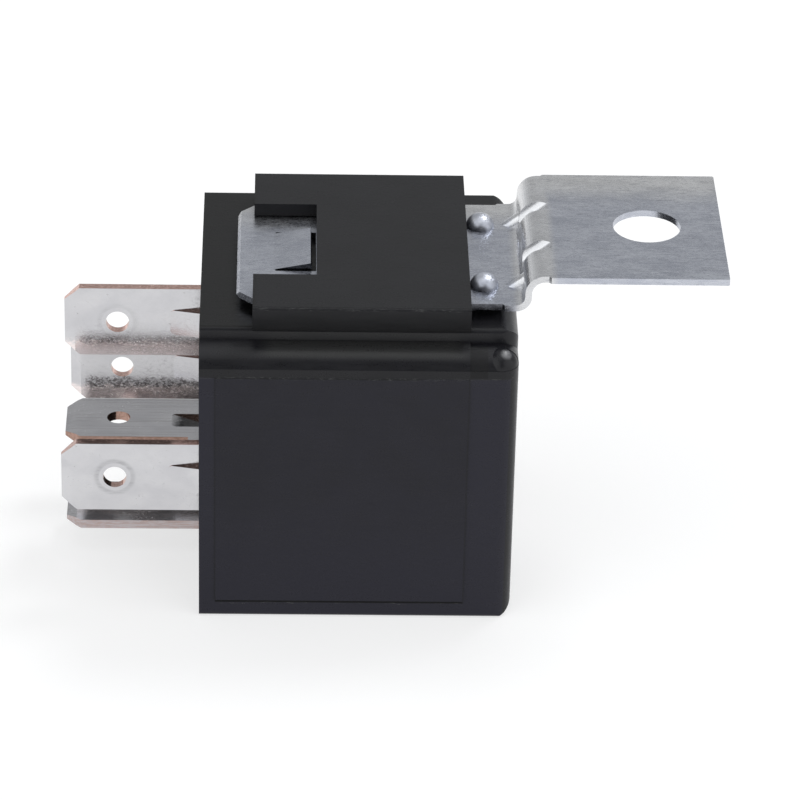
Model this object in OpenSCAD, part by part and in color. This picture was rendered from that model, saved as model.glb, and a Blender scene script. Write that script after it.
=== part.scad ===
// Plug-in changeover relay with five flat blades and a bolt-on bracket.
// Row frame: +X runs from the blades to the closed end, +Z towards the bracket side.
// The relay lies on the flat side opposite the bracket. Millimetres.

/* [Cover] */
// Length of the cover from its open rim to its closed end
cover_l = 25.9; // [24:0.1:28]
// Width of the cover
cover_w = 25.8; // [24.6:0.1:28]
// Height of the cover without the bracket pocket
cover_h = 26.3; // [25.5:0.1:27]
// Thickness of the moulded walls
wall = 1.2; // [0.9:0.1:1.4]
// Radius of the edges round the closed end
end_r = 1.4; // [1:0.1:1.6]
// Radius of the upright edge at the back of the closed end
back_r = 2.4; // [1.4:0.1:2.6]
// Radius of the long bead along the front of the bracket side
bead_r = 2.14; // [1.9:0.02:2.2]
// Drop of the bead's top below the top of the cover
shoulder_drop = 1.27; // [1.1:0.01:1.5]

/* [Bracket pocket] */
// Height of the bracket pocket above the cover
pocket_h = 2.4; // [2.2:0.1:3]
// Width of the bracket pocket
pocket_w = 23.6; // [21:0.1:24]
// Distance from the rim to the near end of the pocket
pocket_x0 = 4.3; // [3.6:0.1:5]
// Distance from the rim to the far end of the pocket
pocket_x1 = 21.95; // [20:0.05:22.2]
// Length of the latch window in the pocket's roof
window_l = 5.2; // [4.8:0.1:6]
// Width of the latch window
window_w = 12.2; // [9:0.1:13]

/* [Bracket] */
// Thickness of the bracket's sheet steel
sheet_t = 0.55; // [0.5:0.05:0.6]
// Height of the bracket's lower plate above the cover
plate_lift = 0.65; // [0.6:0.05:0.8]
// Rise of the joggle between the two flats
joggle_rise = 2.7; // [2.5:0.1:3.2]
// Distance from the rim to the face of the joggle's riser
riser_x = 26.37; // [26.1:0.01:26.8]
// Width of the bracket where it sits in the pocket
plate_w = 17.2; // [14:0.1:17.6]
// Width of the bracket's bolt-on tab
tab_w = 18.1; // [16:0.1:19]
// Distance from the rim to the free end of the tab
tab_x1 = 42.9; // [41.5:0.1:45]
// Distance from the rim to the bolt hole
bolt_x = 36.7; // [36:0.1:37.5]
// Diameter of the bolt hole
bolt_d = 5.6; // [5.2:0.1:6.4]

/* [Blades] */
// Width of the flat blades
blade_w = 6.3; // [6.2:0.05:6.4]
// Thickness of the flat blades
blade_t = 0.8; // [0.75:0.05:0.85]
// Reach of the blades past the rim
blade_reach = 11.4; // [10:0.1:12]
// Diameter of the hole in each blade
blade_hole_d = 1.95; // [1.6:0.05:2.1]
// Height of the centre blade
blade_z = 11.05; // [10.8:0.05:11.4]
// Height of the middle of the two coil blades
coil_z = 11.35; // [11.2:0.05:11.5]
// Height of the common blade above the centre blade
common_pitch = 9.85; // [9.6:0.05:9.95]
// Depth of the normally open blade below the centre blade
open_pitch = 8.25; // [8:0.05:8.4]
// Distance between the two coil blades
coil_pitch = 18.3; // [17.8:0.05:18.6]

/* [Mechanism] */
// Angle the armature opens away from the core
armature_open = 4; // [3:0.5:4]
// Thickness of the armature plate
armature_t = 1.5; // [1.3:0.1:1.5]
// Thickness of the yoke
yoke_t = 1.6; // [1.4:0.1:1.6]
// Diameter of the core
core_d = 6; // [5:0.1:6.4]
// Outer diameter of the coil winding
coil_d = 12; // [10:0.1:12.4]
// Thickness of the contact blade on the armature
leaf_t = 0.4; // [0.3:0.05:0.45]
// Diameter of the return spring over its coils
spring_d = 2.2; // [1.8:0.1:2.4]
// Diameter of the braided lead
braid_d = 1; // [0.8:0.1:1.2]

/* [Hidden] */
$fn = 48;
eps = 0.01;

// Row origin: middle of the whole length, on the resting face
mid_x = (tab_x1 - blade_reach) / 2;

// Cover
half_w = cover_w / 2;
edge_r = 0.35;
shoulder_z = cover_h - shoulder_drop;
ball_set = 0.03; // inset of the corner ball from the faces round it
shoulder_y = -half_w + 2.1;
bead_c = [shoulder_y - 0.04, shoulder_z - bead_r];
bead_z0 = bead_c[1] + 0.73;
band_t = 0.06;
band_slope = 19;
panel_t = 0.12;
panel_x = [1.3, pocket_x1];
panel_z = [1.6, bead_c[1] + 0.01];
cavity_l = cover_l - wall;
cavity_r = 0.6;

// Pocket and bracket
pocket_top = cover_h + pocket_h;
pocket_edge_r = 0.25;
pocket_foot_r = 0.6;
plate_z = cover_h + plate_lift;
plate_top = plate_z + sheet_t;
tab_top = plate_top + joggle_rise;
slot_gap = 0.1;
plate_x0 = 2.95;
corner_cut = [1.9, 1.85];
low_bend_r = 0.75;
high_bend_r = 1.6;
low_bend = [riser_x - low_bend_r, plate_top + low_bend_r];
high_bend = [riser_x + high_bend_r, tab_top - high_bend_r];
tongue_x = [6.1, 9.2];
tongue_w = 6.2;
tongue_tilt = 11;
tongue_gap = 0.25;
dimple_r = 1.2;
dimple_h = 1.1;
dimple_x = pocket_x1 + dimple_r + 0.02;
dimple_y = [-5.5, 4.9];
flare_x = [24.65, 28.36];
flare_l = 0.18;
rib_y = 3.4;
rib_r = 0.8;
gusset_y = 5.3;
gusset_r = 0.65;

// Blades
tip_cut = [1.25, 1.15];
tip_bevel = [0.85, 0.2];
hole_from_tip = 4.4;
lance_l = 2.6;
lance_w = 2.3;
lance_h = 0.7;
lance_dip = 0.5;
lance_room = 0.15;
lance_corner_r = 0.4;
centre_lance_y = -1.55;
shoulder_w = 0.8;

// Header
header_x = [0.5, 3.5];
header_gap = 0.05;
pad_h = 0.3;
pad_grow = 0.7;
slot_play = 0.05;

// Terminals inside the cover
common_z = blade_z + common_pitch;
open_z = blade_z - open_pitch;
coil_y = coil_pitch / 2;

// Magnet system
core_z = 13.6;
yoke_x = [4.8, 18.6];
yoke_top = 22;
yoke_w = 12;
pole_t = 1.2;
pole_d = 9.4;
spigot_d = 4.4;
flange_t = 0.9;
flange_z = [7.1, 20.2];
flange_w = 14.6;
tube_d = core_d + 1.6;
bobbin_x = [yoke_x[0] + yoke_t + 0.1, yoke_x[1] - pole_t - 0.1];
air_gap = 0.05;
hinge = [yoke_x[1] + air_gap, yoke_top];
armature_z = [7.6, 21.9];
armature_w = 11.6;
contact_z = 4.6;
contact_d = 3;
leaf_x = hinge[0] + armature_t;
rivet_d = 1.5;
rivet_play = 0.02;
rivet_head = [2.5, 0.55];
blade_rivet_z = [12, 16];
blade_z1 = 19.2;
terminal_rivet_y = -3.3;
foot_x = [5.2, 9.4];
wire_d = 0.3;

// Return spring: hooked through the yoke's lug and the armature's tail
lug_x = 10.2;
lug_w = 3.2;
lug_t = 0.9;
tail_top = 24.5;
hook_z = 23.4;
hook_hole_d = 1;
spring_wire_d = 0.4;
spring_pitch = 0.62;
spring_turns = 8;
braid_y = -3.6;

// ---------- helpers ----------

// Puts a shape drawn from the rim into the row frame
module place() { translate([-mid_x, 0, 0]) children(); }

// Extrudes a Y-Z outline along X from x0 to x1
module along_x(x0, x1) {
    translate([x0, 0, 0]) rotate([90, 0, 90]) linear_extrude(x1 - x0) children();
}

// Extrudes an X-Z outline along Y from y0 to y1
module along_y(y0, y1) {
    translate([0, y1, 0]) rotate([90, 0, 0]) linear_extrude(y1 - y0) children();
}

// A box given by its low and high corners
module block(low, high) { translate(low) cube(high - low); }

// A rectangle with rounded corners, given by its low and high corners
module round_rect(low, high, r) {
    for (x = [low[0] + r, high[0] - r], y = [low[1] + r, high[1] - r]) translate([x, y]) circle(r);
    translate([low[0] + r, low[1]]) square([high[0] - low[0] - 2 * r, high[1] - low[1]]);
    translate([low[0], low[1] + r]) square([high[0] - low[0], high[1] - low[1] - 2 * r]);
}

// A cylinder along X, from x0 to x1, centred at y, z
module rod_x(d, x0, x1, y = 0, z = 0) {
    translate([x0, y, z]) rotate([0, 90, 0]) cylinder(d = d, h = x1 - x0);
}

// Points on an arc round c, from angle a0 to a1
function arc(c, r, a0, a1, n = 8) =
    [for (i = [0:n]) let (a = a0 + (a1 - a0) * i / n) c + r * [cos(a), sin(a)]];

function unit(v) = v / norm(v);

// A round wire along a path of points: rings of n corners carried along, closed at both ends
module wire(path, d, n = 8) {
    m = len(path);
    run = [for (i = [0:m - 1]) unit(path[min(i + 1, m - 1)] - path[max(i - 1, 0)])];
    side = [for (i = 0, u = [0, 1, 0]; i < m;
        i = i + 1, u = unit(u - (u * run[min(i, m - 1)]) * run[min(i, m - 1)])) u];
    polyhedron(
        [for (i = [0:m - 1], k = [0:n - 1]) let (u = unit(side[i] - (side[i] * run[i]) * run[i]))
            path[i] + d / 2 * (cos(360 * k / n) * u + sin(360 * k / n) * cross(run[i], u))],
        concat(
            [[for (k = [n - 1:-1:0]) k]],
            [for (i = [0:m - 2], k = [0:n - 1]) let (a = i * n + k, b = i * n + (k + 1) % n)
                each [[a, b, b + n], [a, b + n, a + n]]],
            [[for (k = [0:n - 1]) (m - 1) * n + k]]));
}

// Turns a shape open with the armature, about the hinge line
module open_armature() {
    translate([hinge[0], 0, hinge[1]]) rotate([0, -armature_open, 0])
        translate([-hinge[0], 0, -hinge[1]]) children();
}

// ---------- cover ----------

// Y-Z outline of the long bead, grown by g and cut off at z0
module bead_outline(g, z0) {
    intersection() {
        translate(bead_c) circle(bead_r + g);
        translate([-half_w - 1, z0]) square([half_w, 5]);
    }
}

// Y-Z outline of the band over the bead: a thin skin that runs up straight to the wall behind it
module band_outline() {
    r = bead_r + band_t;
    top = bead_c + r * [-sin(band_slope), cos(band_slope)];
    wall_y = shoulder_y + 0.1;
    bead_outline(band_t, bead_z0);
    polygon([top, [wall_y, top[1] + (wall_y - top[0]) * tan(band_slope)], [wall_y, shoulder_z - 1], bead_c]);
}

// Y-Z outline of the box below the shoulder, with its bead along the front
module low_outline() {
    bead_outline(0, bead_z0);
    translate([-half_w, edge_r]) square([cover_w, bead_z0 - edge_r]);
    translate([bead_c[0], 1]) square([half_w - bead_c[0], shoulder_z - 1]);
    for (y = [-half_w + edge_r, half_w - edge_r]) translate([y, edge_r]) circle(edge_r);
    translate([-half_w + edge_r, 0]) square([cover_w - 2 * edge_r, 1]);
}

// Y-Z outline of the raised part behind the shoulder
module high_outline() {
    translate([0, 5]) round_rect([shoulder_y, 0], [half_w, cover_h - 5], edge_r);
}

// Rounds a bar's closed end: top at z1, front at y0, drawn as two crossed outlines
module end_rounding(y0, z1) {
    intersection() {
        along_y(y0 - 1, half_w + 1) {
            round_rect([cover_l - 10, 0], [cover_l, z1], end_r);
            square([cover_l - 5, z1 + 1]);
        }
        translate([0, 0, -1]) linear_extrude(z1 + 2) {
            round_rect([cover_l - 10, y0], [cover_l, 5], end_r);
            round_rect([cover_l - 10, 0], [cover_l, half_w], back_r);
            translate([0, y0 - 1]) square([cover_l - 5, half_w - y0 + 2]);
        }
    }
}

// Outer form: two bars, the lower one with a ball at its corner by the shoulder
module cover_form() {
    ball = [cover_l - end_r, -half_w + end_r, shoulder_z - end_r];
    difference() {
        intersection() {
            along_x(0, cover_l) low_outline();
            end_rounding(-half_w, shoulder_z);
        }
        block([ball[0], -half_w - 1, ball[2]], [cover_l + 1, ball[1], shoulder_z + 1]);
    }
    translate(ball + ball_set * [-1, 1, -1]) sphere(end_r);
    intersection() {
        along_x(0, cover_l) high_outline();
        end_rounding(shoulder_y, cover_h);
    }
}

// Y-Z outline of the room inside; grow < 0 gives the header's outline
module cavity_outline(grow = 0) {
    y = half_w - wall + grow;
    z1 = cover_h - wall + grow;
    round_rect([-y, wall - grow], [y, shoulder_z - wall + grow], cavity_r);
    round_rect([shoulder_y + wall - grow, 10], [y, z1], cavity_r);
}

// Bracket pocket: a bridge over the bracket's plate, open at both ends, with the latch window
module pocket() {
    half_pw = pocket_w / 2;
    slot_y = plate_w / 2 + slot_gap;
    difference() {
        along_x(pocket_x0, pocket_x1) translate([0, cover_h]) {
            round_rect([-half_pw, pocket_foot_r], [half_pw, pocket_h], pocket_edge_r);
            round_rect([-half_pw, 0], [half_pw, pocket_h - pocket_foot_r], pocket_foot_r);
        }
        block([0, -slot_y, plate_z - slot_gap], [cover_l, slot_y, plate_top + slot_gap]);
        block([pocket_x0 - 1, -window_w / 2, plate_top],
            [pocket_x0 + window_l, window_w / 2, pocket_top + 1]);
    }
}

module cover() {
    color([0.10, 0.10, 0.11]) place() difference() {
        union() {
            cover_form();
            // Room under the pocket's rounded lower edges, so that it stands fully on the cover
            along_x(pocket_x0, pocket_x1) translate([-pocket_w / 2 + 1.2, cover_h - 1])
                square([pocket_w - 2.4, 1.2]);
            pocket();
            // Label panel on the front, left bare, with a chamfer along its top
            along_x(panel_x[0], panel_x[1]) polygon([
                [-half_w + eps, panel_z[0]], [-half_w - panel_t, panel_z[0]],
                [-half_w - panel_t, panel_z[1] - panel_t], [-half_w, panel_z[1]],
                [-half_w + eps, panel_z[1]]]);
            // Band over the long bead
            along_x(0, pocket_x1) band_outline();
        }
        along_x(-1, cavity_l) cavity_outline();
    }
}

// ---------- bracket ----------

// X-Z outline of the bent strip: lower flat, joggle, tab
module strip_outline() {
    polygon(concat(
        [[plate_x0 + 0.25, plate_z], [plate_x0, plate_z + 0.2], [plate_x0 + 0.25, plate_top]],
        arc(low_bend, low_bend_r, 270, 360),
        arc(high_bend, high_bend_r, 180, 90, 12),
        [[tab_x1, tab_top], [tab_x1, tab_top - sheet_t]],
        arc(high_bend, high_bend_r - sheet_t, 90, 180, 12),
        arc(low_bend, low_bend_r + sheet_t, 360, 270)
    ));
}

// Plan outline of the strip: clipped insertion corners, then wider at the bend and at the tab
module strip_plan() {
    bend_w = (plate_w + tab_w) / 2;
    half = [
        [plate_x0, plate_w / 2 - corner_cut[1]], [plate_x0 + corner_cut[0], plate_w / 2],
        [flare_x[0] - flare_l / 2, plate_w / 2], [flare_x[0] + flare_l / 2, bend_w / 2],
        [flare_x[1] - flare_l / 2, bend_w / 2], [flare_x[1] + flare_l / 2, tab_w / 2],
        [tab_x1 - 0.1, tab_w / 2], [tab_x1, tab_w / 2 - 0.1]
    ];
    polygon(concat(half, [for (i = [len(half) - 1:-1:0]) [half[i][0], -half[i][1]]]));
}

// A cylinder across a bend at height y, on the line from p to q in X-Z, moved out by shift
module across_bend(p, q, y, r, shift) {
    run = q - p;
    l = norm(run);
    n = [-run[1], run[0]] / l;
    c = (p + q) / 2 + n * shift;
    translate([c[0], y, c[1]]) rotate([0, 90 - atan2(run[1], run[0]), 0])
        cylinder(r = r, h = l + 0.6, center = true);
}

module mounting_bracket() {
    rib_p = [riser_x, high_bend[1] - 0.4];
    rib_q = [high_bend[0] + 0.85, tab_top];
    gus_p = [low_bend[0] - 0.65, plate_top];
    gus_q = [riser_x, low_bend[1] + 0.35];
    dome_r = (dimple_r * dimple_r + dimple_h * dimple_h) / (2 * dimple_h);
    color([0.72, 0.73, 0.75]) place() difference() {
        union() {
            intersection() {
                along_y(-tab_w, tab_w) strip_outline();
                linear_extrude(40) strip_plan();
            }
            // Stiffening darts pressed into the upper bend: their bulges on the inner side
            for (y = [-rib_y, rib_y]) intersection() {
                across_bend(rib_p, rib_q, y, rib_r + sheet_t - 0.05, rib_r);
                translate([high_bend[0], y, high_bend[1]]) rotate([90, 0, 0])
                    cylinder(r = high_bend_r - 0.05, h = 4, center = true);
            }
            // Small gussets in the lower bend
            for (y = [-gusset_y, gusset_y]) intersection() {
                across_bend(gus_p, gus_q, y, gusset_r, -gusset_r);
                block([gus_p[0] - 0.1, y - 2, plate_top - 0.2], [riser_x + 0.2, y + 2, gus_q[1] + 0.1]);
            }
            // Stop dimples
            for (y = dimple_y) intersection() {
                translate([dimple_x, y, plate_top + dimple_h - dome_r]) sphere(dome_r);
                translate([dimple_x - 2, y - 2, plate_z + 0.2]) cube([4, 4, 2]);
            }
        }
        for (y = [-rib_y, rib_y]) across_bend(rib_p, rib_q, y, rib_r, rib_r);
        for (y = [-gusset_y, gusset_y]) intersection() {
            across_bend(gus_p, gus_q, y, gusset_r - sheet_t, -gusset_r);
            block([gus_p[0], y - 2, plate_z - 1], [riser_x + 2, y + 2, gus_q[1]]);
        }
        for (y = dimple_y) translate([dimple_x, y, plate_z + dimple_h - dome_r - 0.1])
            sphere(dome_r - 0.15);
        // Slot round the latch tongue
        block([tongue_x[0], -tongue_w / 2 - tongue_gap, plate_z - 1],
            [tongue_x[1] + tongue_gap, tongue_w / 2 + tongue_gap, plate_top + 1]);
        translate([bolt_x, 0, tab_top - 2]) cylinder(d = bolt_d, h = 4);
    }
    // Latch tongue, bent up so that its free end catches the window's edge
    color([0.72, 0.73, 0.75]) place() translate([tongue_x[0] - 0.1, 0, plate_z])
        rotate([0, -tongue_tilt, 0]) block([0, -tongue_w / 2, 0],
            [(tongue_x[1] - tongue_x[0]) / cos(tongue_tilt), tongue_w / 2, sheet_t]);
}

// ---------- blades ----------

// One flat blade lying in X-Y, from its tip to x1, with tip bevels, hole and locking lance
module blade(x1, lance_side = 1, lance_y0 = -lance_w / 2) {
    hw = blade_w / 2;
    ht = blade_t / 2;
    tip = -blade_reach;
    difference() {
        intersection() {
            linear_extrude(blade_t, center = true) polygon([
                [tip, hw - tip_cut[1]], [tip + tip_cut[0], hw], [x1, hw],
                [x1, -hw], [tip + tip_cut[0], -hw], [tip, -hw + tip_cut[1]]]);
            along_y(-hw, hw) polygon([
                [tip, ht - tip_bevel[1]], [tip + tip_bevel[0], ht], [x1, ht],
                [x1, -ht], [tip + tip_bevel[0], -ht], [tip, -ht + tip_bevel[1]]]);
        }
        translate([tip + hole_from_tip, 0, -blade_t]) cylinder(d = blade_hole_d, h = 2 * blade_t);
        // Hollow of the lance on its back, a ramp that deepens towards the rim
        facing(lance_side) intersection() {
            lance_outline(lance_y0, 0.1);
            along_y(-hw, hw) polygon([[-lance_l, -ht - eps], [header_x[0] - 0.1, -ht - eps],
                [header_x[0] - 0.1, -ht + lance_dip], [-lance_l, -ht]]);
        }
    }
    // Face of the lance: a tongue sheared along both sides and bent out towards the rim
    facing(lance_side) intersection() {
        lance_outline(lance_y0, 0);
        along_y(-hw, hw) polygon([[-lance_l, ht - 0.05], [header_x[0], ht - 0.05],
            [header_x[0], ht + lance_h], [-lance_l, ht]]);
    }
}

// Turns a blade's detail to its other face where side is below 0
module facing(side) { mirror([0, 0, side > 0 ? 0 : 1]) children(); }

// Outline of the lance seen on the flat, drawn in by inset
module lance_outline(y0, inset) {
    translate([0, 0, -3]) linear_extrude(6)
        round_rect([inset - lance_l, y0 + inset], [header_x[0] + 1, y0 + lance_w - inset], lance_corner_r);
}

// Stands a blade drawn in X-Y on its edge, its front face towards -Y
module stand(y, z) { translate([0, y, z]) rotate([90, 0, 0]) children(); }

module blade_metal() { color([0.78, 0.78, 0.80]) place() children(); }

// Common blade, with a bent foot riveted to the back of the yoke
module terminal_30() {
    ht = blade_t / 2;
    blade_metal() difference() {
        union() {
            stand(0, common_z) blade(header_x[1] + 0.5);
            block([header_x[1], -ht, yoke_top], [foot_x[1], ht, common_z + blade_w / 2 - 0.1]);
            block([foot_x[0], -6, yoke_top], [foot_x[1], ht, yoke_top + blade_t]);
        }
        translate([(foot_x[0] + foot_x[1]) / 2, terminal_rivet_y, yoke_top - 1])
            cylinder(d = rivet_d + 2 * rivet_play, h = 3);
    }
}

// Coil blade: a narrow inner tail carries the winding's end
module coil_terminal(y) {
    ht = blade_t / 2;
    blade_metal() {
        stand(y, coil_z) blade(header_x[1] + 0.4);
        block([header_x[1], y - ht, coil_z + 0.6], [9, y + ht, coil_z + 2.2]);
    }
}

module terminal_85() { coil_terminal(-coil_y); }

module terminal_86() { coil_terminal(coil_y); }

// Normally open blade: runs along the floor and turns up to carry its contact
module terminal_87() {
    ht = blade_t / 2;
    x1 = no_plate_x + blade_t;
    blade_metal() difference() {
        union() {
            translate([0, 0, open_z]) blade(header_x[1] + 0.4, -1);
            block([header_x[1], -2.5, open_z - ht], [x1, 2.5, open_z + ht]);
            block([no_plate_x, -2.5, open_z - ht], [x1, 2.5, contact_z + 2]);
        }
        rod_x(rivet_d + 2 * rivet_play, no_plate_x - 1, x1 + 1, 0, contact_z);
    }
}

// Normally closed blade: drops behind the coil, runs past it and turns back over the contacts
module terminal_87a() {
    ht = blade_t / 2;
    drop_x = [header_x[1] + 0.1, header_x[1] + 0.1 + blade_t];
    runner_y = [4.2, 7.2];
    runner_z = [contact_z - 0.2, contact_z - 0.2 + blade_t];
    blade_metal() difference() {
        union() {
            translate([0, 0, blade_z]) {
                blade(drop_x[1], -1, centre_lance_y);
                // Shoulder by the header
                block([-1.1, -blade_w / 2 - shoulder_w, -ht], [header_x[0], -blade_w / 2 + 0.5, ht]);
            }
            block([drop_x[0], -blade_w / 2, runner_z[0]], [drop_x[1], blade_w / 2, blade_z + ht]);
            block([drop_x[0], 0, runner_z[0]], [drop_x[1], runner_y[1], runner_z[0] + 3]);
            block([drop_x[0], runner_y[0], runner_z[0]], [nc_plate_x + blade_t, runner_y[1], runner_z[1]]);
            block([nc_plate_x, -2.3, contact_z - 2.1], [nc_plate_x + blade_t, runner_y[1], contact_z + 2.1]);
        }
        rod_x(rivet_d + 2 * rivet_play, nc_plate_x - 1, nc_plate_x + 2, 0, contact_z);
    }
}

// ---------- header ----------

// Outline of a blade's slot, grown by g; stood on edge for the vertical blades
module slot(y, z, upright, g) {
    size = [blade_w + 2 * g, blade_t + 2 * g];
    translate([y, z]) rotate(upright ? 90 : 0) square(size, center = true);
}

module blade_slots(g) {
    slot(0, common_z, true, g);
    slot(-coil_y, coil_z, true, g);
    slot(coil_y, coil_z, true, g);
    slot(0, blade_z, false, g);
    slot(0, open_z, false, g);
}

module header() {
    color([0.08, 0.08, 0.09]) place() difference() {
        union() {
            along_x(header_x[0], header_x[1]) cavity_outline(-header_gap);
            // Raised pads round the blades
            along_x(header_x[0] - pad_h, header_x[0] + eps) blade_slots(pad_grow);
        }
        along_x(-1, header_x[1] + 1) blade_slots(slot_play);
        // Room for the lances and for the centre blade's shoulder
        for (p = [[0, common_z], [-coil_y, coil_z], [coil_y, coil_z]])
            block([-1, p[0] - blade_t / 2 - lance_h - lance_room, p[1] - lance_w / 2 - slot_play],
                [header_x[0] + lance_room, p[0], p[1] + lance_w / 2 + slot_play]);
        for (p = [[centre_lance_y, blade_z], [-lance_w / 2, open_z]])
            block([-1, p[0] - slot_play, p[1] - blade_t / 2 - lance_h - lance_room],
                [header_x[0] + lance_room, p[0] + lance_w + slot_play, p[1]]);
        block([-1, -blade_w / 2 - shoulder_w - 0.1, blade_z - blade_t / 2 - slot_play],
            [header_x[0] + 0.1, 0, blade_z + blade_t / 2 + slot_play]);
        // Vent
        rod_x(1, -1, header_x[1] + 1, 6.5, 19);
    }
}

// ---------- magnet system ----------

module yoke() {
    color([0.55, 0.56, 0.58]) place() difference() {
        union() {
            block([yoke_x[0], -yoke_w / 2, core_z - 5.4], [yoke_x[0] + yoke_t, yoke_w / 2, yoke_top]);
            block([yoke_x[0], -yoke_w / 2, yoke_top - yoke_t], [yoke_x[1], yoke_w / 2, yoke_top]);
            // Lug for the return spring
            block([lug_x, -lug_w / 2, yoke_top - eps], [lug_x + lug_t, lug_w / 2, tail_top]);
        }
        rod_x(spigot_d + 2 * rivet_play, yoke_x[0] - 1, yoke_x[0] + yoke_t + 1, 0, core_z);
        rod_x(hook_hole_d, lug_x - 1, lug_x + lug_t + 1, 0, hook_z);
        translate([(foot_x[0] + foot_x[1]) / 2, terminal_rivet_y, yoke_top - 3])
            cylinder(d = rivet_d + 2 * rivet_play, h = 6);
    }
}

module core() {
    color([0.6, 0.6, 0.62]) place() {
        rod_x(spigot_d, yoke_x[0] - 0.15, yoke_x[0] + yoke_t + 0.2, 0, core_z);
        rod_x(core_d, yoke_x[0] + yoke_t, yoke_x[1] - pole_t / 2, 0, core_z);
        rod_x(pole_d, yoke_x[1] - pole_t, yoke_x[1], 0, core_z);
    }
}

module bobbin() {
    color([0.85, 0.83, 0.76]) place() difference() {
        union() {
            for (x = [bobbin_x[0], bobbin_x[1] - flange_t]) along_x(x, x + flange_t)
                round_rect([-flange_w / 2, flange_z[0]], [flange_w / 2, flange_z[1]], 1);
            rod_x(tube_d, bobbin_x[0], bobbin_x[1], 0, core_z);
        }
        rod_x(core_d + 0.2, bobbin_x[0] - 1, bobbin_x[1] + 1, 0, core_z);
    }
}

module coil_winding() {
    x0 = bobbin_x[0] + flange_t + 0.05;
    x1 = bobbin_x[1] - flange_t - 0.05;
    color([0.72, 0.38, 0.16]) place() difference() {
        rod_x(coil_d, x0, x1, 0, core_z);
        rod_x(tube_d + 0.1, x0 - 1, x1 + 1, 0, core_z);
    }
}

// Winding end: leaves the coil's side and goes two turns round the coil blade's tail
module coil_lead(side) {
    x = 8.3;
    y0 = coil_d / 2 + wire_d / 2 + 0.02;
    tail = [side * coil_y, coil_z + 1.4];
    color([0.75, 0.42, 0.18]) place() {
        translate([x, side * y0, core_z - 1.2]) rotate([-side * 90, 0, 0])
            cylinder(d = wire_d, h = coil_y - y0 - blade_t / 2 - wire_d - 0.02);
        for (dx = [-0.15, 0.14]) translate([x + dx, tail[0], tail[1]]) rotate([90, 0, 90])
            linear_extrude(wire_d) difference() {
                square([blade_t + 0.06 + 2 * wire_d, 1.66 + 2 * wire_d], center = true);
                square([blade_t + 0.06, 1.66], center = true);
            }
    }
}

module coil_lead_85() { coil_lead(-1); }

module coil_lead_86() { coil_lead(1); }

// ---------- armature and contacts ----------

no_plate_x = leaf_x - 0.75 - air_gap - 0.9 - blade_t;
contact_rise = (hinge[1] - contact_z) * sin(armature_open);
nc_face_x = leaf_x + leaf_t + 0.65 + contact_rise + 0.1;
nc_plate_x = nc_face_x + 0.8;

module armature() {
    color([0.58, 0.59, 0.61]) place() open_armature() difference() {
        union() {
            along_x(hinge[0], leaf_x) translate([0, armature_z[0]])
                round_rect([-armature_w / 2, 0], [armature_w / 2, armature_z[1] - armature_z[0]], 1.2);
            // Tail behind the hinge, for the return spring
            block([hinge[0], -lug_w / 2, armature_z[1] - 2], [leaf_x, lug_w / 2, tail_top]);
        }
        for (z = blade_rivet_z) rod_x(rivet_d + 2 * rivet_play, hinge[0] - 1, leaf_x + 1, 0, z);
        rod_x(hook_hole_d, hinge[0] - 1, leaf_x + 1, 0, hook_z);
    }
}

// Blade that carries the moving contact, broad over the armature and narrow at the contact
module contact_blade() {
    color([0.76, 0.55, 0.30]) place() open_armature() difference() {
        along_x(leaf_x, leaf_x + leaf_t) {
            round_rect([-2.1, contact_z - 2], [2.1, contact_z + 6], 1.2);
            round_rect([-4.4, contact_z + 5.4], [4.4, blade_z1], 1);
        }
        for (z = blade_rivet_z) rod_x(rivet_d + 2 * rivet_play, leaf_x - 1, leaf_x + 2, 0, z);
        rod_x(rivet_d + 2 * rivet_play, leaf_x - 1, leaf_x + 2, 0, contact_z);
    }
}

// Rivets that hold the blade to the armature
module blade_rivets() {
    color([0.7, 0.7, 0.72]) place() open_armature() for (z = blade_rivet_z) {
        rod_x(rivet_d, hinge[0] + 0.05, leaf_x + leaf_t + 0.1, 0, z);
        rod_x(rivet_head[0], leaf_x + leaf_t, leaf_x + leaf_t + rivet_head[1], 0, z);
    }
}

module moving_contact() {
    color([0.80, 0.79, 0.76]) place() open_armature() {
        rod_x(contact_d, leaf_x - 0.75, leaf_x, 0, contact_z);
        rod_x(rivet_d, leaf_x - 0.1, leaf_x + leaf_t + 0.1, 0, contact_z);
        rod_x(contact_d, leaf_x + leaf_t, leaf_x + leaf_t + 0.65, 0, contact_z);
    }
}

module fixed_contact_no() {
    color([0.80, 0.79, 0.76]) place() {
        rod_x(contact_d, no_plate_x + blade_t, no_plate_x + blade_t + 0.9, 0, contact_z);
        rod_x(rivet_d, no_plate_x, no_plate_x + blade_t + 0.1, 0, contact_z);
    }
}

module fixed_contact_nc() {
    color([0.80, 0.79, 0.76]) place() {
        rod_x(contact_d, nc_face_x, nc_plate_x, 0, contact_z);
        rod_x(rivet_d, nc_plate_x - 0.1, nc_plate_x + blade_t, 0, contact_z);
    }
}

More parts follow.
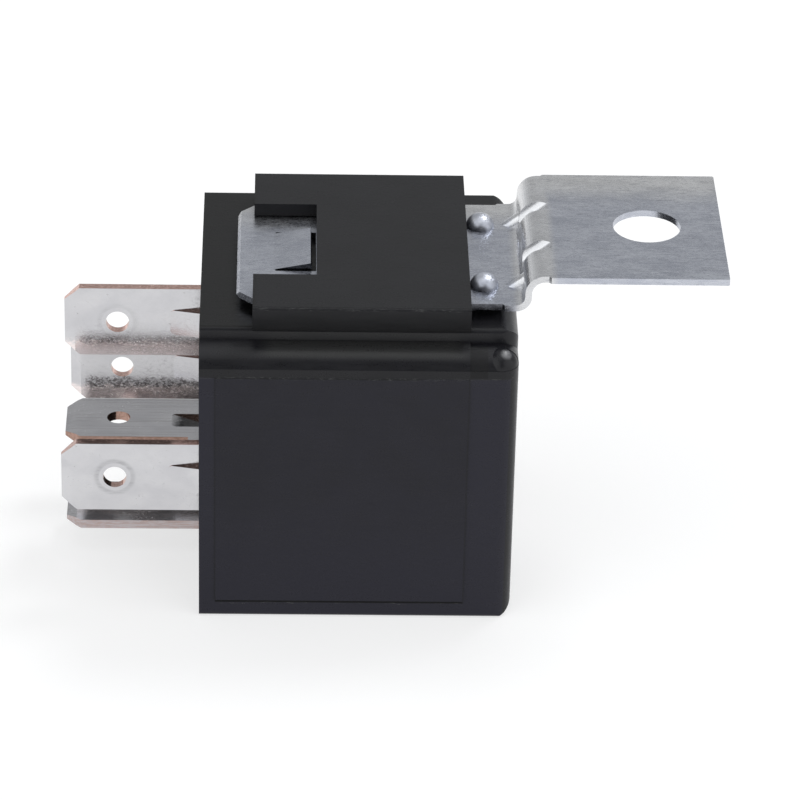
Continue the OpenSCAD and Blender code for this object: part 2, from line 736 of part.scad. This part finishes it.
// Extension spring that pulls the tail, so that the armature rests away from the core
module return_spring() {
    r = (spring_d - spring_wire_d) / 2;
    x0 = lug_x + lug_t + 1.1;
    x1 = x0 + spring_pitch * spring_turns;
    x2 = leaf_x + 0.15;
    steps = 12;
    color([0.62, 0.63, 0.65]) place() translate([0, 0, hook_z]) wire(concat(
        [[lug_x - 0.5, 0, -0.75], [lug_x - 0.45, 0, -0.3], [lug_x - 0.2, 0, 0], [x0 - 0.6, 0, 0]],
        [for (k = [1:4]) let (a = -180 + 36 * k) [x0 - 0.5 + 0.1 * k, r * k / 5 * cos(a), r * k / 5 * sin(a)]],
        [for (k = [0:spring_turns * steps]) let (a = 360 * k / steps)
            [x0 + spring_pitch * k / steps, r * cos(a), r * sin(a)]],
        [for (k = [1:4]) [x1 + 0.1 * k, r * (5 - k) / 5 * cos(36 * k), r * (5 - k) / 5 * sin(36 * k)]],
        [[x1 + 0.6, 0, 0], [x2, 0, 0], [x2 + 0.25, 0, -0.3], [x2 + 0.3, 0, -0.75]]), spring_wire_d, 6);
}

// Braided lead from the common blade's foot over the yoke's end to the contact blade
module braid_lead() {
    r = braid_d / 2;
    z = yoke_top + blade_t + r;
    blade_x = leaf_x + leaf_t + r + (yoke_top - blade_z1) * sin(armature_open) + 0.13;
    bend = [blade_x - 1.2, z - 1.2 + 0.4];
    color([0.74, 0.40, 0.20]) place() wire([for (p = concat(
        [[foot_x[1] - 0.9, z + 0.01], [foot_x[1] + 0.5, z + 0.01], [foot_x[1] + 3, z + 0.3],
            [foot_x[1] + 6, z + 0.4]],
        arc(bend, 1.2, 90, 0, 5),
        [[blade_x, blade_z1 + 1.2], [blade_x + 0.04, blade_z1], [blade_x + 0.12, blade_z1 - 1.8]]))
        [p[0], braid_y, p[1]]], braid_d, 10);
}

// Rivet that holds the common blade's foot to the yoke
module terminal_rivet() {
    head_z = yoke_top + blade_t;
    color([0.7, 0.7, 0.72]) place() translate([(foot_x[0] + foot_x[1]) / 2, terminal_rivet_y, 0]) {
        translate([0, 0, yoke_top - yoke_t]) cylinder(d = rivet_d, h = head_z - yoke_top + yoke_t + 0.1);
        translate([0, 0, head_z]) cylinder(d = rivet_head[0], h = rivet_head[1]);
    }
}

cover();
header();
mounting_bracket();
terminal_30();
terminal_85();
terminal_86();
terminal_87();
terminal_87a();
yoke();
core();
bobbin();
coil_winding();
coil_lead_85();
coil_lead_86();
armature();
contact_blade();
blade_rivets();
moving_contact();
fixed_contact_no();
fixed_contact_nc();
return_spring();
braid_lead();
terminal_rivet();
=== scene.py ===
"""Looks of the plug-in relay: camera, studio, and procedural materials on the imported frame."""

import math

import bpy
from mathutils import Matrix, Vector


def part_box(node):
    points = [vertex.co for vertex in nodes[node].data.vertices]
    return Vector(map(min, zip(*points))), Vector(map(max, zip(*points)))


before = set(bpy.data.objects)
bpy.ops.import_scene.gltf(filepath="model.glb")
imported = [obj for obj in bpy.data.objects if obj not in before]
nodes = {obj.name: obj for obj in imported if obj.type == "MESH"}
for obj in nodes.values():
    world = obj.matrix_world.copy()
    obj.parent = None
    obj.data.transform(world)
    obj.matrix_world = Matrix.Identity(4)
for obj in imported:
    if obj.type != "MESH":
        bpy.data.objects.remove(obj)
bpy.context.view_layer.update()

MM = 0.001

# Places on the object, mm
SHEET = 0.55                        # thickness of the bracket's sheet
HOLE_FROM_TIP = 4.4                 # a blade's hole behind its tip
PANEL_X = (-14.4, 6.15)             # the label panel's ends
PANEL_LOW = 1.6                     # its lower edge
PANEL_DROP = 5.85                   # its upper edge, below the pocket's top
BALL_HIGHLIGHT = (9.12, -12.08, 24.85)    # place of the painted highlight on the corner ball

# Colours
COVER_TONE = (0.0096, 0.0095, 0.0118)
HEADER_TONE = (0.013, 0.013, 0.014)
PANEL_TONE = (0.0092, 0.0088, 0.0150)
PANEL_PALE = (0.0108, 0.0104, 0.0178)


def scaled(colour, share):
    return [c * share for c in colour]


# ---------- camera ----------

def add_camera():
    azimuth, elevation, roll = (math.radians(a) for a in (-1.74, 30.23, 1.41))
    target = Vector((0.94, 0, 13.39)) * MM
    distance = 387.9 * MM
    back = Vector((math.sin(azimuth) * math.cos(elevation),
                   -math.cos(azimuth) * math.cos(elevation), math.sin(elevation)))
    right = Vector((math.cos(azimuth), math.sin(azimuth), 0))
    up = back.cross(right)
    tilted_right = right * math.cos(roll) + up * math.sin(roll)
    tilted_up = up * math.cos(roll) - right * math.sin(roll)
    data = bpy.data.cameras.new("camera")
    data.sensor_width = 36
    data.lens = 207.17
    data.clip_start = 0.01
    data.clip_end = 20
    camera = bpy.data.objects.new("camera", data)
    bpy.context.scene.collection.objects.link(camera)
    place = Matrix((tilted_right, tilted_up, back)).transposed().to_4x4()
    place.translation = target + back * distance
    camera.matrix_world = place
    bpy.context.scene.camera = camera


# ---------- node building ----------

def is_socket(value):
    return hasattr(value, "is_output")


class Graph:
    """Short ways to add and join shader nodes; a fixed value goes straight into its socket."""

    def __init__(self, tree, coordinates):
        self.tree = tree
        self.coord = tree.nodes.new("ShaderNodeTexCoord")
        self.coordinates = coordinates

    def node(self, kind, **settings):
        made = self.tree.nodes.new(kind)
        for key, value in settings.items():
            setattr(made, key, value)
        return made

    def link(self, value, target):
        if is_socket(value):
            self.tree.links.new(value, target)
        else:
            target.default_value = value

    def math(self, operation, a, b=0.0, c=0.0):
        made = self.node("ShaderNodeMath", operation=operation)
        for socket, value in zip(made.inputs, (a, b, c)):
            self.link(value, socket)
        return made.outputs[0]

    def add(self, a, b):
        return self.math("ADD", a, b)

    def times(self, a, *others):
        for other in others:
            a = self.math("MULTIPLY", a, other)
        return a

    def inverse(self, a):
        return self.math("SUBTRACT", 1, a)

    def ramp(self, value, low, high, at_low=0.0, at_high=1.0):
        """Smooth step from low to high, where low may be above high."""
        made = self.node("ShaderNodeMapRange", interpolation_type="SMOOTHSTEP")
        for socket, v in zip(made.inputs, (value, low, high, at_low, at_high)):
            self.link(v, socket)
        return made.outputs[0]

    def axis(self, which, coordinates=None):
        made = self.node("ShaderNodeSeparateXYZ")
        self.link(self.coord.outputs[coordinates or self.coordinates], made.inputs[0])
        return made.outputs["XYZ".index(which)]

    def toward(self, direction):
        """Cosine of the angle between the coordinates, as a direction, and a fixed direction."""
        made = self.node("ShaderNodeVectorMath", operation="DOT_PRODUCT")
        self.link(self.coord.outputs[self.coordinates], made.inputs[0])
        made.inputs[1].default_value = Vector(direction).normalized()
        return made.outputs["Value"]


class Shader(Graph):
    """A Principled material; the keywords are values that are the same all over."""

    def __init__(self, name, **fixed):
        self.mat = bpy.data.materials.new(name)
        self.mat.use_nodes = True
        super().__init__(self.mat.node_tree, "Object")
        self.bsdf = self.tree.nodes["Principled BSDF"]
        for key, value in fixed.items():
            self.bsdf.inputs[key.replace("_", " ")].default_value = value

    def finish(self, colour, roughness, normal):
        for key, value in (("Base Color", colour), ("Roughness", roughness), ("Normal", normal)):
            self.link(value, self.bsdf.inputs[key])
        return self.mat

    def mapped(self, per_mm, offset):
        made = self.node("ShaderNodeMapping")
        self.link(self.coord.outputs["Object"], made.inputs["Vector"])
        made.inputs["Scale"].default_value = [s / MM for s in per_mm]
        made.inputs["Location"].default_value = offset
        return made.outputs[0]

    def noise(self, per_mm, detail=2.0, rough=0.5, distort=0.0, offset=(0, 0, 0)):
        """Noise with the given number of features per millimetre along each axis."""
        made = self.node("ShaderNodeTexNoise")
        self.link(self.mapped(per_mm, offset), made.inputs["Vector"])
        settings = {"Scale": 1, "Detail": detail, "Roughness": rough, "Distortion": distort}
        for key, value in settings.items():
            made.inputs[key].default_value = value
        return made.outputs[0]

    def cells(self, per_mm, offset=(0, 0, 0)):
        """Distance to the nearest of scattered points, so many per millimetre along each axis."""
        made = self.node("ShaderNodeTexVoronoi")
        self.link(self.mapped(per_mm, offset), made.inputs["Vector"])
        made.inputs["Scale"].default_value = 1
        return made.outputs["Distance"]

    def height(self, which, low_mm, high_mm, shift=0.0):
        """0 at low_mm along an axis, 1 at high_mm; shift, in mm, makes the border ragged."""
        place = self.axis(which)
        if is_socket(shift):
            place = self.add(place, self.times(shift, MM))
        return self.ramp(place, low_mm * MM, high_mm * MM)

    def band(self, which, low_mm, high_mm, soft_mm=0.1):
        """1 between two places along an axis, fading to 0 over soft_mm outside them."""
        above_low = self.height(which, low_mm - soft_mm, low_mm)
        return self.times(above_low, self.inverse(self.height(which, high_mm, high_mm + soft_mm)))

    def distance(self, place_mm):
        """Distance to a point."""
        total = 0.0
        for which, at in zip("XYZ", place_mm):
            off = self.add(self.axis(which), -at * MM)
            total = self.add(self.times(off, off), total)
        return self.math("SQRT", total)

    def mix(self, factor, a, b):
        made = self.node("ShaderNodeMix", data_type="RGBA")
        self.link(factor, made.inputs["Factor"])
        for socket, colour in zip([s for s in made.inputs if s.type == "RGBA"], (a, b)):
            self.link(colour if is_socket(colour) else (*colour, 1), socket)
        return made.outputs[2]

    def bump(self, height, depth_mm, strength=1.0, under=None):
        made = self.node("ShaderNodeBump")
        made.inputs["Strength"].default_value = strength
        made.inputs["Distance"].default_value = depth_mm * MM
        self.link(height, made.inputs["Height"])
        if under is not None:
            self.link(under, made.inputs["Normal"])
        return made.outputs[0]


# ---------- plastics ----------

def black_plastic(name, tone, rough, zones=None):
    """Moulded black nylon with fine grain, flow streaks, pale specks and scuffs.

    zones is a function that gives the colour, painted light and shade included, and where the surface
    is less glossy.
    """
    s = Shader(name, IOR=1.47, Specular_IOR_Level=0.32)
    cloud = s.noise((0.25, 0.25, 0.25), 3)
    grain = s.noise((10, 10, 10), 3, 0.6)
    streak = s.noise((0.4, 2.5, 2.5), 4, 0.6)
    scuff = s.noise((1.1, 3.2, 3.2), 5, 0.75, 1.5, (5, 2, 9))
    speck = s.ramp(s.cells((1.7, 1.7, 1.7), (3, 1, 4)), 0.035, 0.06, 1, 0)
    base = s.mix(s.ramp(cloud, 0.3, 0.7), scaled(tone, 0.85), scaled(tone, 1.15))
    base = s.mix(s.ramp(scuff, 0.70, 0.78, 0, 0.5), base, scaled(tone, 2.2))
    base = s.mix(s.times(speck, s.ramp(cloud, 0.45, 0.6, 0, 0.6)), base, (0.12, 0.12, 0.12))
    surface = s.add(s.ramp(streak, 0.3, 0.7, -0.04, 0.05),
                    s.ramp(grain, 0.3, 0.7, rough - 0.04, rough + 0.05))
    if zones:
        base, matt_and_shade = zones(s, base, tone)
        surface = s.add(surface, s.times(matt_and_shade, 0.5))
    return s.finish(base, surface, s.bump(grain, 0.006, 0.5, s.bump(cloud, 0.03, 0.4)))


def label_face(s, base, top):
    """The near face: bluish, with painted shade along the panel's border and painted light towards its
    foot and below the panel; gives the colour and the less glossy places.
    """
    panel_high = top - PANEL_DROP
    low_x, high_x = PANEL_X
    face = s.band("Y", -14, -12.7, 0.05)
    along = s.band("X", low_x, high_x, 0.05)
    upright = s.band("Z", PANEL_LOW, panel_high, 0.05)
    # A shade bluer than the rest; painted light makes it paler towards the foot; paler beside the
    # panel, and below the panel, where that paleness is painted light too
    bluish = s.mix(s.ramp(s.noise((0.3, 0.3, 0.3)), 0.3, 0.7), PANEL_TONE, PANEL_PALE)
    bluish = s.mix(s.height("Z", 14, 2), bluish, scaled(PANEL_PALE, 1.35))
    bluish = s.mix(s.times(upright, along), scaled(PANEL_PALE, 1.4), bluish)
    below_bead = s.height("Z", panel_high + 0.05, panel_high - 0.05)
    base = s.mix(s.times(face, below_bead), base, bluish)
    # Painted shade along the panel's lower edge, and fainter painted shade along its other edges
    low_edge = s.times(s.band("Z", PANEL_LOW - 0.23, PANEL_LOW - 0.02, 0.03), along)
    high_edge = s.times(s.band("Z", panel_high - 0.05, panel_high + 0.01, 0.03),
                        s.band("X", low_x, 1.5, 1.5))
    ends = s.add(s.band("X", high_x - 0.03, high_x + 0.05, 0.04),
                 s.band("X", low_x - 0.08, low_x, 0.04))
    panel_edge_shade = s.add(low_edge, s.add(s.times(high_edge, 0.7), s.times(ends, upright, 0.45)))
    base = s.mix(s.math("MINIMUM", s.times(face, panel_edge_shade), 0.95), base, (0.001, 0.001, 0.001))
    # Pale chips just below it
    chips = s.ramp(s.noise((1.1, 6, 6), 4, 0.8, 0.5, (7, 1, 4)), 0.56, 0.63)
    under = s.times(s.band("Z", PANEL_LOW - 0.38, PANEL_LOW - 0.24, 0.03), s.band("X", -14, high_x))
    base = s.mix(s.times(face, chips, under, 0.8), base, (0.10, 0.10, 0.10))
    return base, s.times(face, low_edge, 0.9)


def cover_zones(s, base, tone):
    """Places where the cover's colour and gloss differ, most of them painted shade and light; gives
    its colour and where it is less glossy.
    """
    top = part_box("cover")[1][2] / MM
    # Painted shade: the pocket's upright front walls are painted darker towards their foot, and are
    # less glossy there
    front = s.ramp(s.axis("Y", "Normal"), -0.9, -0.5, 1, 0)
    matt_and_shade = s.times(front, s.height("Z", top - 2.6, top - 2.3), s.height("Z", top + 1.1, top - 2.2))
    base = s.mix(matt_and_shade, base, scaled(tone, 0.3))
    # The near face's colour, with painted shade along the panel's edges; its lower edge is less glossy
    # too
    base, shaded_low_edge = label_face(s, base, top)
    matt_and_shade = s.add(matt_and_shade, shaded_low_edge)
    # Painted light: beside the pocket's foot, the step under the pocket's overhang is painted paler
    painted_light_ledge = s.times(s.band("Z", top - 4.0, top - 2.8, 0.4), s.band("X", -9.5, 4.6, 2.0))
    base = s.mix(s.times(painted_light_ledge, s.height("Y", -10.6, -11.0)), base, (0.030, 0.030, 0.030))
    # Painted shade: the bead's end beside the corner ball is painted darker, and is less glossy
    end = s.times(s.band("Z", top - 5.7, top - 3.6, 0.05), s.band("X", 6.2, 7.6, 0.06),
                  s.height("Y", -11.0, -11.4))
    base = s.mix(s.times(end, 0.8), base, scaled(tone, 0.3))
    matt_and_shade = s.add(matt_and_shade, s.times(end, 0.35))
    # Pale specks along the panel's upper edge and the pocket's front edge: rubbed wear, and with it a
    # painted highlight along both edges
    speck_and_glint_noise = s.ramp(s.noise((1.6, 7, 7), 5, 0.8, 0.8, (2, 8, 1)), 0.53, 0.62)
    edges = s.add(s.band("Z", top - 5.95, top - 5.78, 0.04), s.band("Z", top - 0.22, top - 0.04, 0.05))
    rubbed = s.times(edges, s.height("Y", -11.4, -11.7), speck_and_glint_noise, 0.75)
    base = s.mix(rubbed, base, (0.065, 0.065, 0.065))
    # Painted highlight: a pale spot on the corner ball
    ball = s.ramp(s.distance(BALL_HIGHLIGHT), 0.22 * MM, 0.62 * MM, 1, 0)
    uneven = s.ramp(s.noise((3, 3, 3), 3, 0.7), 0.25, 0.6, 0.55, 1)
    base = s.mix(s.times(ball, uneven), base, (0.17, 0.17, 0.175))
    # Painted shade: the upper faces are painted darker, most of all beyond the pocket's mouth
    up = s.ramp(s.axis("Z", "Normal"), 0.7, 0.9)
    beyond = s.ramp(s.axis("X"), -11.0 * MM, -11.6 * MM, 0.45, 1)
    darker = s.times(up, beyond, s.height("Z", top - 3.0, top - 2.7))
    return s.mix(darker, base, scaled(tone, 0.12)), matt_and_shade


def plain_plastic(name, tone, rough):
    s = Shader(name, IOR=1.5)
    cloud = s.noise((0.5, 0.5, 0.5), 3)
    return s.finish(s.mix(s.ramp(cloud, 0.3, 0.7), scaled(tone, 0.9), tone),
                    s.ramp(cloud, 0.3, 0.7, rough - 0.05, rough + 0.05),
                    s.bump(s.noise((6, 6, 6), 2), 0.004, 0.4))


# ---------- metals ----------

def zinc_sheet(name):
    """Zinc-plated strip: short fine rolling dashes, faint clouds, dark pin specks, greyer far edge."""
    s = Shader(name, Metallic=1.0)
    cloud = s.noise((0.3, 0.5, 0.5), 3, 0.5, 0.4)
    dash = s.noise((0.9, 4.6, 4.6), 5, 0.75, 0.3)
    fine = s.noise((5, 13, 13), 3, 0.6)
    speck = s.noise((1.6, 3.4, 3.4), 4, 0.75, 1.4, (31, 7, 3))
    scratch = s.noise((0.7, 2.1, 2.1), 4, 0.65, 0.3, (7, 11, 5))
    tone = s.add(s.times(cloud, 0.30), s.add(s.times(dash, 0.52), s.times(fine, 0.18)))
    shade = s.ramp(tone, 0.38, 0.62)
    blue = s.mix(shade, (0.455, 0.475, 0.54), (0.585, 0.605, 0.66))
    grey = s.mix(shade, (0.665, 0.665, 0.67), (0.775, 0.775, 0.78))
    # Greyer towards the far edge; on the bend the greyer, paler colour is a painted highlight
    far = s.height("Y", 4.5, 9.5, s.times(cloud, 3.0))
    bend_highlight = s.band("X", 10.3, 12.6, 0.8)
    colour = s.mix(s.math("MAXIMUM", far, s.times(bend_highlight, 0.85)), blue, grey)
    # The lower plate's sheared edges are painted dark: painted shade, standing in for the black cover
    # they reflect
    sheared = s.ramp(s.math("ABSOLUTE", s.axis("Y", "Normal")), 0.8, 0.95)
    shaded_plate_edge = s.times(sheared, s.inverse(s.height("X", 9.0, 10.5)))
    colour = s.mix(s.times(shaded_plate_edge, s.ramp(dash, 0.3, 0.6, 0.95, 0.75)), colour, (0.07, 0.07, 0.08))
    colour = s.mix(s.ramp(scratch, 0.58, 0.67, 0, 0.34), colour, (0.30, 0.31, 0.35))
    colour = s.mix(s.ramp(scratch, 0.40, 0.31, 0, 0.34), colour, (0.80, 0.82, 0.88))
    colour = s.mix(s.ramp(speck, 0.68, 0.76, 0, 0.5), colour, (0.24, 0.25, 0.28))
    # The pressed dimples are duller than the sheet
    plate_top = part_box("mounting_bracket")[0][2] / MM + SHEET
    domes = s.times(s.band("X", 5.8, 8.9), s.height("Z", plate_top + 0.05, plate_top + 0.3))
    rough = s.add(s.ramp(tone, 0.35, 0.65, 0.24, 0.32), s.ramp(fine, 0.3, 0.7, -0.03, 0.05))
    return s.finish(colour, s.add(rough, s.times(domes, 0.16)),
                    s.bump(fine, 0.003, 0.4, s.bump(dash, 0.010, 0.5)))


def tin_plate(s, seed):
    """Light tin with faint clouds, fine rubbed streaks and pin marks; gives its colour and marks."""
    offset = (seed * 3.7, seed * 1.3, seed * 5.1)
    cloud = s.noise((0.3, 0.5, 0.5), 3, 0.5, 0.3, offset)
    streak = s.noise((0.7, 7, 7), 4, 0.65, 0.2, offset)
    pit = s.noise((4, 6, 6), 4, 0.75, 0.6, offset)
    tin = s.mix(s.ramp(cloud, 0.3, 0.7), (0.56, 0.555, 0.575), (0.63, 0.625, 0.64))
    tin = s.mix(s.ramp(streak, 0.6, 0.75, 0, 0.25), tin, (0.45, 0.45, 0.47))
    tin = s.mix(s.ramp(pit, 0.67, 0.73, 0, 0.6), tin, (0.24, 0.23, 0.23))
    return tin, cloud, streak, pit


def add_speck_band_and_reflection(s, tin, streak, pit, place, spots, tip, seed):
    """Adds a ragged speckled band at place, (axis, low, high), and below it a painted reflection: the
    tin painted paler and faintly pink.
    """
    axis, low, high = place
    ragged = s.times(s.add(s.noise((1.6, 2.6, 2.6), 5, 0.75, 0.6, (seed, 0, 0)), -0.5), 1.6)
    above_low = s.height(axis, low - 0.1, low + 0.1, ragged)
    below_high = s.inverse(s.height(axis, high - 0.1, high + 0.1, ragged))
    behind_tip = s.height("X", tip + 1.1, tip + 1.4)
    speckle = s.times(above_low, below_high, s.ramp(pit, 0.42, 0.56, spots, spots * 0.12), behind_tip)
    # Painted reflection: below the band the tin is painted paler and pinkish
    pink_reflection = s.mix(s.ramp(streak, 0.4, 0.6), (0.90, 0.81, 0.795), (0.82, 0.755, 0.74))
    tin = s.mix(s.inverse(s.height(axis, low - 0.3, low + 0.5, ragged)), tin, pink_reflection)
    return s.mix(speckle, tin, (0.17, 0.155, 0.16))


def hole_ring(s, low, high):
    """The faint ring that the punch leaves round the hole of an upright blade."""
    from_x = s.add(s.axis("X"), -low[0] - HOLE_FROM_TIP * MM)
    from_z = s.add(s.axis("Z"), -(low[2] + high[2]) / 2)
    square = s.add(s.times(from_x, from_x), s.times(from_z, from_z))
    radius_mm = s.times(s.math("SQRT", square), 1 / MM)
    return s.times(s.ramp(radius_mm, 1.25, 1.4), s.ramp(radius_mm, 1.5, 1.85, 1, 0))


def sheared_copper(s, streak, pit, edge_tin, upper_edge_shade):
    """The bare edges: copper, painted paler where they face up as a painted highlight, with tin
    smeared over them.
    """
    up = s.ramp(s.axis("Z", "Normal"), 0.4, 0.7)
    shaded_copper = s.mix(s.ramp(pit, 0.35, 0.65), (0.27, 0.17, 0.13), (0.46, 0.30, 0.25))
    lit_copper = s.mix(s.ramp(pit, 0.35, 0.65), (0.56, 0.36, 0.31), (0.86, 0.60, 0.53))
    smear = s.ramp(s.add(streak, s.times(pit, 0.5)), 0.62, 0.88, edge_tin, edge_tin * 0.5)
    edge = s.mix(smear, s.mix(up, shaded_copper, lit_copper), (0.53, 0.485, 0.495))
    # Painted shade on the upper edge
    if upper_edge_shade:
        edge = s.mix(s.times(up, upper_edge_shade), edge, (0.13, 0.10, 0.09))
    return edge


def tinned_blade(node, flat_axis, seed, band_and_reflection=None, spots=0.85, drawn=0.0, ring=0.0,
                 edge_tin=0.0, upper_edge_shade=0.0):
    """Tin plate on a blade's two flats, bare copper on its sheared edges.

    flat_axis is the sheet's normal. worn is (axis, low, high), in mm, for the speckled band, with a
    painted reflection below it, and spots is the band's strength. drawn is the strength of long
    drawing lines and ring that of the hole's ring. edge_tin leaves tin on the edges, and
    upper_edge_shade paints shade on the upper edge.
    """
    s = Shader("tin_" + node, Metallic=1.0)
    low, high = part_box(node)
    tin, cloud, streak, pit = tin_plate(s, seed)
    if drawn:
        lines = s.noise((0.12, 5.5, 5.5), 5, 0.7, 0.3, (0, seed, 0))
        tin = s.mix(s.ramp(lines, 0.5, 0.7, 0, drawn), tin, (0.36, 0.35, 0.34))
    if band_and_reflection:
        tin = add_speck_band_and_reflection(s, tin, streak, pit, band_and_reflection, spots, low[0] / MM, seed)
    if ring:
        shown = s.times(hole_ring(s, low, high), s.ramp(streak, 0.35, 0.6, ring, ring * 0.4))
        tin = s.mix(shown, tin, (0.34, 0.34, 0.35))
    edge = sheared_copper(s, streak, pit, edge_tin, upper_edge_shade)
    facing = s.math("ABSOLUTE", s.axis(flat_axis, "Normal"))
    return s.finish(s.mix(s.ramp(facing, 0.35, 0.6), edge, tin),
                    s.add(s.ramp(cloud, 0.3, 0.7, 0.10, 0.17), s.ramp(pit, 0.45, 0.8, 0, 0.2)),
                    s.bump(pit, 0.004, 0.35, s.bump(streak, 0.004, 0.4)))


def plain_metal(name, light, dark, rough, per_mm=(3, 3, 3)):
    s = Shader(name, Metallic=1.0)
    cloud = s.noise((0.4, 0.4, 0.4), 3)
    fine = s.noise(per_mm, 4, 0.6)
    tone = s.math("MULTIPLY_ADD", fine, 0.5, s.times(cloud, 0.5))
    return s.finish(s.mix(s.ramp(tone, 0.35, 0.65), dark, light),
                    s.ramp(fine, 0.3, 0.7, rough - 0.06, rough + 0.08),
                    s.bump(fine, 0.005, 0.5))


def wound_wire(name, pitch_mm, tone):
    """Turns of round wire side by side along X."""
    s = Shader(name, Metallic=1.0)
    turn = s.math("FRACT", s.times(s.axis("X"), 1 / (pitch_mm * MM)))
    off_crown = s.math("ABSOLUTE", s.math("MULTIPLY_ADD", turn, 2, -1))
    hump = s.inverse(s.math("POWER", off_crown, 2))
    cloud = s.noise((0.6, 0.6, 0.6), 3)
    shade = s.times(s.ramp(hump, 0, 0.7), s.ramp(cloud, 0.2, 0.8, 0.7, 1))
    return s.finish(s.mix(shade, scaled(tone, 0.45), tone), s.ramp(cloud, 0.3, 0.7, 0.28, 0.4),
                    s.bump(hump, pitch_mm * 0.4, 0.8))


def braid(name):
    s = Shader(name, Metallic=1.0)
    weave = s.cells((5, 5, 5))
    # Painted shade: each strand is darker towards its edges, where it meets the next
    return s.finish(s.mix(s.ramp(weave, 0.1, 0.7), (0.80, 0.46, 0.29), (0.34, 0.15, 0.08)),
                    s.ramp(weave, 0.1, 0.8, 0.32, 0.5), s.bump(s.inverse(weave), 0.05, 0.7))


# ---------- materials on the nodes ----------

def dress(names, material):
    for name in names:
        data = nodes[name].data
        data.materials.clear()
        data.materials.append(material)


def dress_blades():
    blades = {
        "terminal_30": dict(flat_axis="Y", seed=1, band_and_reflection=("Z", 18.9, 19.5), spots=0.5, ring=0.25),
        "terminal_85": dict(flat_axis="Y", seed=2, ring=0.6, upper_edge_shade=0.3),
        "terminal_86": dict(flat_axis="Y", seed=3, band_and_reflection=("Z", 9.4, 10.3), spots=0.95),
        "terminal_87": dict(flat_axis="Z", seed=4, drawn=0.7, edge_tin=0.95),
        "terminal_87a": dict(flat_axis="Z", seed=5, drawn=0.55),
    }
    for node, looks in blades.items():
        dress([node], tinned_blade(node, **looks))


def dress_all():
    dress(["cover"], black_plastic("cover_black", COVER_TONE, 0.31, cover_zones))
    dress(["header"], black_plastic("header_black", HEADER_TONE, 0.5))
    dress(["mounting_bracket"], zinc_sheet("zinc_sheet"))
    dress_blades()
    iron = plain_metal("plated_iron", (0.62, 0.63, 0.66), (0.50, 0.51, 0.54), 0.32, (1, 5, 5))
    dress(["yoke", "core", "armature", "blade_rivets", "terminal_rivet"], iron)
    dress(["bobbin"], plain_plastic("bobbin_nylon", (0.74, 0.71, 0.60), 0.5))
    dress(["coil_winding"], wound_wire("winding_copper", 0.16, (0.66, 0.27, 0.10)))
    leads = plain_metal("lead_copper", (0.72, 0.32, 0.14), (0.50, 0.20, 0.09), 0.3)
    dress(["coil_lead_85", "coil_lead_86"], leads)
    bronze = plain_metal("blade_bronze", (0.80, 0.56, 0.33), (0.66, 0.43, 0.24), 0.3, (5, 5, 1))
    dress(["contact_blade"], bronze)
    silver = plain_metal("contact_silver", (0.86, 0.85, 0.82), (0.70, 0.69, 0.66), 0.25)
    dress(["moving_contact", "fixed_contact_no", "fixed_contact_nc"], silver)
    steel = plain_metal("spring_steel", (0.52, 0.53, 0.55), (0.36, 0.37, 0.39), 0.28)
    dress(["return_spring"], steel)
    dress(["braid_lead"], braid("braid_copper"))


# ---------- studio ----------

def add_floor():
    """White floor: it takes the relay's shadow, and glows white to the camera and in the metal."""
    grey, glow_strength = 0.38, 0.64
    bpy.ops.mesh.primitive_plane_add(size=6, location=(0, 0, -0.02 * MM))
    floor = bpy.context.object
    floor.name = "floor"
    mat = bpy.data.materials.new("floor_white")
    mat.use_nodes = True
    mat.node_tree.nodes.clear()
    g = Graph(mat.node_tree, "Object")
    path = g.node("ShaderNodeLightPath").outputs
    seen = g.math("MAXIMUM", path["Is Camera Ray"],
                  g.math("MAXIMUM", path["Is Glossy Ray"], path["Is Transmission Ray"]))
    diffuse = g.node("ShaderNodeBsdfDiffuse")
    diffuse.inputs["Color"].default_value = (grey, grey, grey, 1)
    glow = g.node("ShaderNodeEmission")
    g.link(g.times(seen, glow_strength), glow.inputs["Strength"])
    both = g.node("ShaderNodeAddShader")
    g.link(diffuse.outputs[0], both.inputs[0])
    g.link(glow.outputs[0], both.inputs[1])
    g.link(both.outputs[0], g.node("ShaderNodeOutputMaterial").inputs["Surface"])
    floor.data.materials.append(mat)


def soft_box(g, direction, radius, strength):
    """Light from within radius, in degrees, of a direction, with a soft rim."""
    rim = math.radians(min(8, radius / 3))
    near, far = (math.cos(math.radians(radius) + side * rim) for side in (-1, 1))
    return g.ramp(g.toward(direction), far, near, 0, strength)


def add_world():
    """A studio: pale backdrop behind, dim room in front, and soft boxes round the object."""
    boxes = [
        ((-0.75, -0.60, 0.25), 38, 1.2),    # left
        ((0.75, -0.60, 0.30), 34, 1.1),     # right
        ((0.03, -0.20, 0.98), 26, 0.75),    # overhead
        ((0.42, 0.38, 0.83), 9, 14),        # key, from behind on the right
    ]
    world = bpy.data.worlds.new("studio")
    bpy.context.scene.world = world
    world.use_nodes = True
    world.node_tree.nodes.clear()
    g = Graph(world.node_tree, "Generated")
    height = g.axis("Z")
    backdrop = g.add(g.ramp(height, 0.05, 0.38, 0.80, 0.46), g.ramp(height, 0.62, 0.97, 0, 0.05))
    room = g.ramp(height, 0.72, 0.97, 0.12, 0.51)
    behind = g.ramp(g.axis("Y"), -0.55, -0.05)
    level = g.add(g.times(backdrop, behind), g.times(room, g.inverse(behind)))
    for direction, radius, strength in boxes:
        level = g.add(level, soft_box(g, direction, radius, strength))
    light = g.node("ShaderNodeBackground")
    light.inputs["Color"].default_value = (0.97, 0.985, 1.0, 1)
    g.link(level, light.inputs["Strength"])
    g.link(light.outputs[0], g.node("ShaderNodeOutputWorld").inputs["Surface"])


add_camera()
add_floor()
add_world()
dress_all()

bpy.context.scene.view_settings.view_transform = "Standard"
